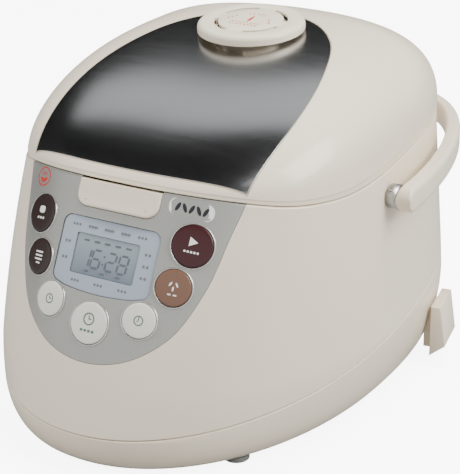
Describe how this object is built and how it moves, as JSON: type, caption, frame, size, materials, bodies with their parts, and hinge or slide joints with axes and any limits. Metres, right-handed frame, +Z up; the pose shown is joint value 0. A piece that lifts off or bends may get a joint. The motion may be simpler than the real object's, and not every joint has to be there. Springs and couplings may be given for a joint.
{
  "type": "rice cooker",
  "caption": "Countertop rice cooker with a domed hinged lid, steel lid plate, steam vent, sloping key panel, folding handle and removable pot.",
  "frame": {"origin": "on the surface the cooker stands on, under the middle of its outline", "axes": "+Z up, -Y out of the front panel, +X to the right of someone facing the panel"},
  "size_m": [0.2912, 0.3978, 0.2503],
  "materials": {
    "shell_plastic": "satin gloss cream plastic",
    "base_plastic": "satin gloss cream plastic",
    "vent_plastic": "gloss cream plastic",
    "brushed_plate": "fine brushed",
    "panel_paint": "silver metallic paint",
    "key_dark": "gloss",
    "key_red": "gloss",
    "key_brown": "gloss",
    "key_light": "gloss",
    "key_ring": "satin chrome",
    "lcd_frame": "pale blue gloss",
    "lcd_glass": "polarised glass",
    "aluminium": "satin",
    "pot_coating": "dark non-stick coat",
    "silicone": "matt silicone",
    "foot_rubber": "matt",
    "steel": "plated",
    "zinc_shield": "galvanised sheet",
    "black_plastic": "matt",
    "liner_plastic": "matt heat resistant plastic",
    "board": "solder resist",
    "brass_pins": "plated"
  },
  "bodies": {
    "cooker": {"base_cover": "base_plastic", "rubber_feet": "foot_rubber", "base_screws": "steel", "body_shell": "shell_plastic", "control_fascia": "panel_paint", "lcd_bezel": "lcd_frame", "lcd_window": "lcd_glass", "lcd_module": "black_plastic", "control_board": "board", "button_rings": "key_ring", "tact_switches": "black_plastic", "latch_pin": "steel", "latch_bracket": "liner_plastic", "upper_deck": "liner_plastic", "heat_shield": "zinc_shield", "shield_posts": "base_plastic", "inner_pot": "pot_coating", "heating_plate": "aluminium", "sensor_spring": "steel", "band_heater": "zinc_shield", "power_board": "board", "board_posts": "base_plastic", "inlet_socket": "black_plastic", "inlet_pins": "brass_pins", "hinge_block": "shell_plastic", "hinge_pin": "steel", "hinge_spring": "steel", "handle_studs": "steel", "holder_rail": "shell_plastic"},
    "lid": {"lid_shell": "shell_plastic", "steel_plate": "brushed_plate", "lid_liner": "liner_plastic", "inner_lid": "aluminium", "pot_gasket": "silicone", "inner_lid_knob": "silicone", "lid_heater": "aluminium", "lid_heater_plate": "aluminium", "lid_sensor": "steel", "lid_catch": "liner_plastic", "lid_screws": "steel", "hinge_arms": "liner_plastic", "vent_cup": "vent_plastic", "vent_valve": "silicone"},
    "vent": {"vent_cap": "vent_plastic"},
    "handle": {"handle": "shell_plastic"},
    "release": {"release_button": "shell_plastic"},
    "hook": {"latch_hook": "liner_plastic"},
    "sensor": {"temperature_sensor": "aluminium"},
    "holder": {"paddle_holder": "shell_plastic"},
    "cancel_key": {"cancel_button": "key_dark"},
    "function_key": {"function_button": "key_dark"},
    "hour_key": {"hour_button": "key_light"},
    "timer_key": {"timer_button": "key_light"},
    "minute_key": {"minute_button": "key_light"},
    "rice_key": {"rice_button": "key_brown"},
    "start_key": {"start_button": "key_red"}
  },
  "joints": [
    {"name": "lid_hinge", "type": "hinge", "parent": "cooker", "child": "lid", "pos_m": [0, 0.17, 0.182], "axis": [-1, 0, 0], "range_deg": [0, 80]},
    {"name": "vent_lift", "type": "slide", "parent": "lid", "child": "vent", "axis": [0, -0.0872, 0.9962], "range_m": [0, 0.03]},
    {"name": "handle_fold", "type": "hinge", "parent": "cooker", "child": "handle", "pos_m": [0, -0.004, 0.151], "axis": [1, 0, 0], "range_deg": [0, 90]},
    {"name": "release_press", "type": "slide", "parent": "cooker", "child": "release", "axis": [0, 0.8771, -0.4802], "range_m": [0, 0.0035], "stiffness_N_per_m": 400, "springref_m": -0.002},
    {"name": "hook_turn", "type": "hinge", "parent": "cooker", "child": "hook", "pos_m": [0, -0.108, 0.148], "axis": [1, 0, 0], "range_deg": [0, 8]},
    {"name": "sensor_press", "type": "slide", "parent": "cooker", "child": "sensor", "axis": [0, 0, -1], "range_m": [0, 0.003], "stiffness_N_per_m": 200, "springref_m": -0.003},
    {"name": "holder_lift", "type": "slide", "parent": "cooker", "child": "holder", "axis": [0, 0, 1], "range_m": [0, 0.045]},
    {"name": "cancel_press", "type": "slide", "parent": "cooker", "child": "cancel_key", "axis": [0.3221, 0.8551, -0.4063], "range_m": [0, 0.0008], "stiffness_N_per_m": 300, "springref_m": -0.0005},
    {"name": "function_press", "type": "slide", "parent": "cooker", "child": "function_key", "axis": [0.3062, 0.8742, -0.3769], "range_m": [0, 0.0008], "stiffness_N_per_m": 300, "springref_m": -0.0005},
    {"name": "hour_press", "type": "slide", "parent": "cooker", "child": "hour_key", "axis": [0.1921, 0.9077, -0.3732], "range_m": [0, 0.0008], "stiffness_N_per_m": 300, "springref_m": -0.0005},
    {"name": "timer_press", "type": "slide", "parent": "cooker", "child": "timer_key", "axis": [0, 0.9219, -0.3874], "range_m": [0, 0.0008], "stiffness_N_per_m": 300, "springref_m": -0.0005},
    {"name": "minute_press", "type": "slide", "parent": "cooker", "child": "minute_key", "axis": [-0.1921, 0.9077, -0.3732], "range_m": [0, 0.0008], "stiffness_N_per_m": 300, "springref_m": -0.0005},
    {"name": "rice_press", "type": "slide", "parent": "cooker", "child": "rice_key", "axis": [-0.3062, 0.8742, -0.3769], "range_m": [0, 0.0008], "stiffness_N_per_m": 300, "springref_m": -0.0005},
    {"name": "start_press", "type": "slide", "parent": "cooker", "child": "start_key", "axis": [-0.3221, 0.8551, -0.4063], "range_m": [0, 0.0008], "stiffness_N_per_m": 300, "springref_m": -0.0005}
  ],
  "couplings": [
    {"joint": "hook_turn", "follows": "release_press", "rad_per_m": 39.893}
  ]
}
